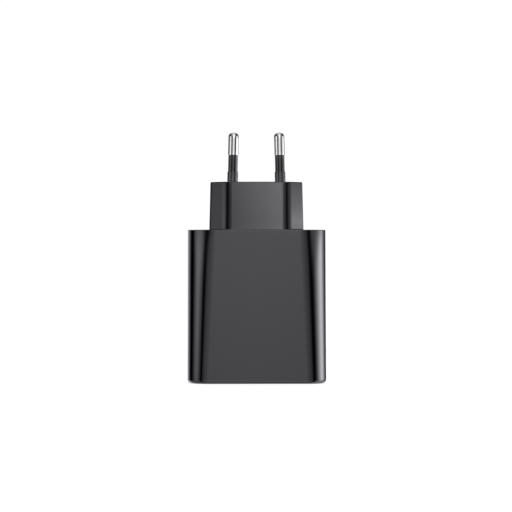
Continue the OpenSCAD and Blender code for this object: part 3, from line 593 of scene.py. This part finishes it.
# The studio's lights. Each has its brightness round the horizon, as (degrees from the front, brightness)
# with negative degrees to the left, and then how that changes with height, as (degrees above the horizon,
# factor). Between two places the value passes evenly from one to the other.
LIGHTS = {
    "background": (
        ((-180, 0.9), (-154, 1.0), (-139, 0.95), (-128, 0.3), (-120, 0.0), (157, 0.0), (168, 0.45),
         (180, 0.9)),
        ((-90, 0.3), (-60, 0.8), (-10, 1.0), (1.6, 1.0), (2.3, 0.35), (10, 0.3), (50, 0.2), (90, 0.0)),
    ),
    "left strip": (
        ((-103, 0.0), (-98, 0.3), (-91, 0.8), (-85, 1.6), (-79, 2.25), (-72, 2.7), (-66, 2.35),
         (-56, 1.3), (-51, 0.75), (-46, 0.1), (-43, 0.0)),
        ((-90, 0.3), (-60, 0.3), (-10, 0.4), (-2.5, 0.58), (-0.5, 0.69), (1.0, 0.9), (2.1, 1.1),
         (2.6, 0.78), (6, 0.45), (14, 0.1), (30, 0.0)),
    ),
    "left glow": (
        ((-105, 0.0), (-97, 0.4), (-90, 0.6), (-72, 0.3), (-58, 0.9), (-50, 0.6), (-42, 0.25),
         (-36, 0.0)),
        ((1.8, 0.0), (2.3, 1.0), (8, 0.8), (16, 0.15), (30, 0.0)),
    ),
    "front light": (
        ((-38, 0.0), (-32, 0.4), (-25, 0.8), (-14, 1.1), (-4, 1.4), (2, 1.72), (7, 1.45), (20, 1.0),
         (30, 0.7), (38, 0.3), (43, 0.0)),
        ((-90, 0.2), (-60, 0.3), (-20, 0.5), (-8, 0.85), (-2.5, 0.87), (0.5, 1.08), (1.7, 1.1),
         (2.3, 0.0)),
    ),
    "upper front light": (
        ((-30, 0.0), (-24, 0.4), (-18, 0.95), (-8, 1.4), (-1, 1.6), (0.6, 2.28), (3.4, 2.28), (6, 2.1),
         (13, 1.9), (20, 1.7), (28, 1.2), (35, 0.4), (41, 0.0)),
        ((1.7, 0.0), (2.3, 0.5), (2.8, 0.575), (3.4, 0.73), (4, 0.85), (8, 1.0), (24, 1.0), (50, 0.8),
         (90, 0.3)),
    ),
    "front glow": (
        ((1.1, 0.0), (2.9, 4.6), (4.5, 2.0), (10, 0.8), (20, 0.0)),
        ((1.5, 0.0), (2.3, 0.8), (2.8, 1.0), (12, 1.0), (24, 0.0)),
    ),
    "right strip": (
        ((53, 0.0), (59, 0.2), (66, 1.2), (72, 2.3), (79, 4.0), (86, 5.8), (93, 7.1), (99, 7.8),
         (104, 7.3), (109, 6.0), (114, 4.4), (119, 2.8), (124, 1.5), (130, 0.8), (138, 0.3),
         (150, 0.05), (156, 0.0)),
        ((-90, 0.2), (-60, 0.3), (-12, 0.5), (-3, 1.0), (1.8, 1.0), (2.0, 0.82), (2.2, 0.52),
         (2.6, 0.34), (3.2, 0.29), (8, 0.25), (16, 0.08), (30, 0.0)),
    ),
    "right glow": (
        ((44, 0.0), (51, 0.45), (58, 0.95), (68, 0.7), (80, 0.2), (88, 0.0)),
        ((1.9, 0.0), (2.4, 1.0), (8, 0.8), (16, 0.15), (30, 0.0)),
    ),
    "ceiling": (
        ((-180, 0.6), (-140, 0.5), (-125, 0.0), (-66, 0.0), (-40, 0.6), (0, 0.75), (40, 0.65),
         (66, 0.0), (125, 0.0), (140, 0.5), (180, 0.6)),
        ((12, 0.0), (24, 1.0), (50, 1.0), (62, 0.0)),
    ),
    "floor bounce": (
        ((-180, 0.8), (-120, 0.7), (-60, 0.6), (0, 1.1), (60, 0.8), (120, 0.9), (180, 0.8)),
        ((-90, 0.6), (-66, 0.9), (-54, 0.0)),
    ),
    "low bounce": (
        ((-180, 0.8), (-120, 0.7), (-58, 0.6), (-50, 0.0), (-40, 0.0), (-36, 0.7), (0, 1.1), (37, 0.8),
         (42, 0.0), (53, 0.0), (61, 0.8), (120, 0.9), (180, 0.8)),
        ((-66, 0.0), (-54, 0.9), (-20, 1.0), (-9, 0.0)),
    ),
}
# A light overhead that is the same all round, as (degrees above the horizon, brightness)
TOP_LIGHT = ((50, 0.0), (66, 1.0), (90, 1.5))


def studio_world():
    """Soft studio light all round the object, and a plain white background for the camera."""
    scene = bpy.context.scene
    world = bpy.data.worlds.new("studio")
    scene.world = world
    world.use_nodes = True
    tree = world.node_tree
    links = tree.links
    tree.nodes.clear()
    out = node_of(tree, "ShaderNodeOutputWorld")
    coords = node_of(tree, "ShaderNodeTexCoord")
    split = node_of(tree, "ShaderNodeSeparateXYZ")
    links.new(coords.outputs["Generated"], split.inputs["Vector"])

    def math_node(kind, a, b=None):
        """The result of a sum on plain numbers or other nodes' outputs."""
        made = node_of(tree, "ShaderNodeMath", operation=kind)
        for socket, value in zip(made.inputs, (a, b)):
            if isinstance(value, bpy.types.NodeSocket):
                links.new(value, socket)
            elif value is not None:
                socket.default_value = value
        return made.outputs[0]

    # Azimuth from the front (-Y), positive to the right (+X), and height above the horizon, in degrees
    front = math_node("MULTIPLY", split.outputs["Y"], -1.0)
    azimuth = math_node("MULTIPLY", math_node("ARCTAN2", split.outputs["X"], front), 180 / math.pi)
    height = math_node("MULTIPLY", math_node("ARCSINE", split.outputs["Z"]), 180 / math.pi)

    def profile(position, places, levels):
        """Brightness along straight lines through the given places, from 0 to 1, level beyond both ends."""
        peak = max(levels)
        ramp = node_of(tree, "ShaderNodeValToRGB")
        ramp.color_ramp.interpolation = "LINEAR"
        elements = ramp.color_ramp.elements
        while len(elements) < len(places):
            elements.new(0.5)
        for element, place in zip(elements, places):
            element.position = place
        for element, level in zip(elements, levels):
            element.color = (level / peak, level / peak, level / peak, 1)
        links.new(position, ramp.inputs["Fac"])
        return math_node("MULTIPLY", ramp.outputs["Color"], peak)

    def across(stops):
        """Brightness by the direction round the horizon."""
        low, high = stops[0][0], stops[-1][0]
        return profile(spread(tree, azimuth, 0.0, 1.0, low, high),
                       [(at - low) / (high - low) for at, _ in stops], [level for _, level in stops])

    # Heights are squeezed towards the horizon, where the lights change fastest
    squeeze = 4.0
    squeezed = math_node("ARCTANGENT", math_node("MULTIPLY", height, 1 / squeeze))
    height_place = math_node("ADD", math_node("MULTIPLY", squeezed, 1 / math.pi), 0.5)

    def upward(stops):
        """Brightness by the height above the horizon."""
        return profile(height_place, [math.atan(at / squeeze) / math.pi + 0.5 for at, _ in stops],
                       [level for _, level in stops])

    level = upward(TOP_LIGHT)
    for around, rise in LIGHTS.values():
        level = math_node("ADD", level, math_node("MULTIPLY", across(around), upward(rise)))

    studio = node_of(tree, "ShaderNodeBackground")
    links.new(level, studio.inputs["Strength"])
    studio.inputs["Color"].default_value = (0.985, 0.985, 1.045, 1)
    plain = node_of(tree, "ShaderNodeBackground", Strength=1.02)
    plain.inputs["Color"].default_value = (1, 1, 1, 1)
    path = node_of(tree, "ShaderNodeLightPath")
    choose = node_of(tree, "ShaderNodeMixShader")
    links.new(path.outputs["Is Camera Ray"], choose.inputs["Fac"])
    links.new(studio.outputs[0], choose.inputs[1])
    links.new(plain.outputs[0], choose.inputs[2])
    links.new(choose.outputs[0], out.inputs["Surface"])


def floor():
    """A plain pale floor that stays white, with a faint shadow where the object stands.

    It lies just under the port face, and it is clear from below, so that face can be seen.
    """
    radius, drop = 6000.0, 0.05
    bm = bmesh.new()
    bmesh.ops.create_circle(bm, cap_ends=True, radius=radius, segments=96,
                            matrix=Matrix.Translation((0, 0, -drop)))
    obj = make_object("floor", bm, weighted=False)
    mat, tree, bsdf = shader_tree("floor_paper")
    bsdf.inputs["Roughness"].default_value = 0.9
    bsdf.inputs["Specular IOR Level"].default_value = 0.0
    bsdf.inputs["Emission Color"].default_value = (1, 1, 1, 1)
    bsdf.inputs["Emission Strength"].default_value = 0.8
    grain = spread(tree, noise_of(tree, 40.0), 0, 1)
    paper = mix_colours(tree, grain, (0.34, 0.34, 0.34), (0.36, 0.36, 0.36))
    tree.links.new(paper, bsdf.inputs["Base Color"])
    clear = node_of(tree, "ShaderNodeBsdfTransparent")
    sides = node_of(tree, "ShaderNodeMixShader")
    tree.links.new(node_of(tree, "ShaderNodeNewGeometry").outputs["Backfacing"], sides.inputs["Fac"])
    tree.links.new(bsdf.outputs[0], sides.inputs[1])
    tree.links.new(clear.outputs[0], sides.inputs[2])
    tree.links.new(sides.outputs[0], tree.nodes["Material Output"].inputs["Surface"])
    obj.data.materials.append(mat)
    obj.visible_glossy = False
    obj.visible_diffuse = False


def camera():
    """A level camera that stands slightly left of straight ahead; width is what it sees at the aim."""
    distance, turned, width = 1.05, math.radians(2.0), 0.1977
    aim = Vector((-0.14 * MM, 0, 48.86 * MM))
    data = bpy.data.cameras.new("camera")
    data.sensor_width = 36.0
    data.lens = data.sensor_width * distance / width
    data.clip_start, data.clip_end = 0.05, 50
    obj = bpy.data.objects.new("camera", data)
    obj.location = aim + Vector((-math.sin(turned), -math.cos(turned), 0)) * distance
    obj.rotation_euler = (math.pi / 2, 0, -turned)
    bpy.context.scene.collection.objects.link(obj)
    bpy.context.scene.camera = obj


# ---------- Assembly ----------

MATERIALS = make_materials()


def place(obj, slot, *nodes):
    """Gives a new piece its material and its body, and hides the CAD nodes that it stands for."""
    obj.data.materials.append(MATERIALS[slot])
    if nodes:
        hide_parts(*nodes)
    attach(obj, ROOT)


place(build_housing(), "housing_gloss", "housing")
place(build_ribs(), "housing_gloss")
place(build_plug_cover(), "plug_gloss", "plug_cover")
for side, word in ((-1, "live"), (1, "neutral")):
    place(build_pin(side, f"{word}_pin_turned"), "pin_metal", f"{word}_pin")
    place(build_sleeve(side, f"{word}_sleeve_moulded"), "sleeve_plastic", f"{word}_pin_sleeve")

# The CAD nodes that keep their own shape get their slot's material and small edge bevels
SLOT_OF = {entry["node"]: entry["material_slot"] for entry in frame["record"]["subparts"]}
# The bevels' widths in millimetres; thin sheet and fine contacts have none
PLAIN_BEVEL = 0.05
WELD_GAP = 0.0005
BEVELS = {"transformer_core_upper": 0.2, "transformer_core_lower": 0.2, "x_capacitor": 0.3,
          "optocoupler": 0.12, "bridge_rectifier": 0.12, "fuse": 0.3, "inrush_thermistor": 0.5,
          "y_capacitor": 0.5, "output_capacitor_cans": 0.3, "insulating_sheet": 0.0, "choke_core": 0.3,
          "usb_a_shell": 0.06, "usb_c_shell": 0.05, "usb_c_contacts": 0.0, "usb_c_mid_plate": 0.0,
          "choke_windings": 0.12}
for node, obj in frame["nodes"].items():
    obj.data.materials.clear()
    obj.data.materials.append(MATERIALS[SLOT_OF[node]])
    width = BEVELS.get(node, PLAIN_BEVEL)
    if obj.hide_render or width == 0:
        continue
    weld = obj.modifiers.new("weld", "WELD")
    weld.merge_threshold = WELD_GAP * MM
    bevel = obj.modifiers.new("bevel", "BEVEL")
    bevel.width = width * MM
    bevel.segments = 3
    bevel.limit_method = "ANGLE"
    bevel.angle_limit = math.radians(40)
    bevel.harden_normals = True

studio_world()
floor()
camera()
scene = bpy.context.scene
scene.view_settings.view_transform = "Standard"
scene.view_settings.look = "None"
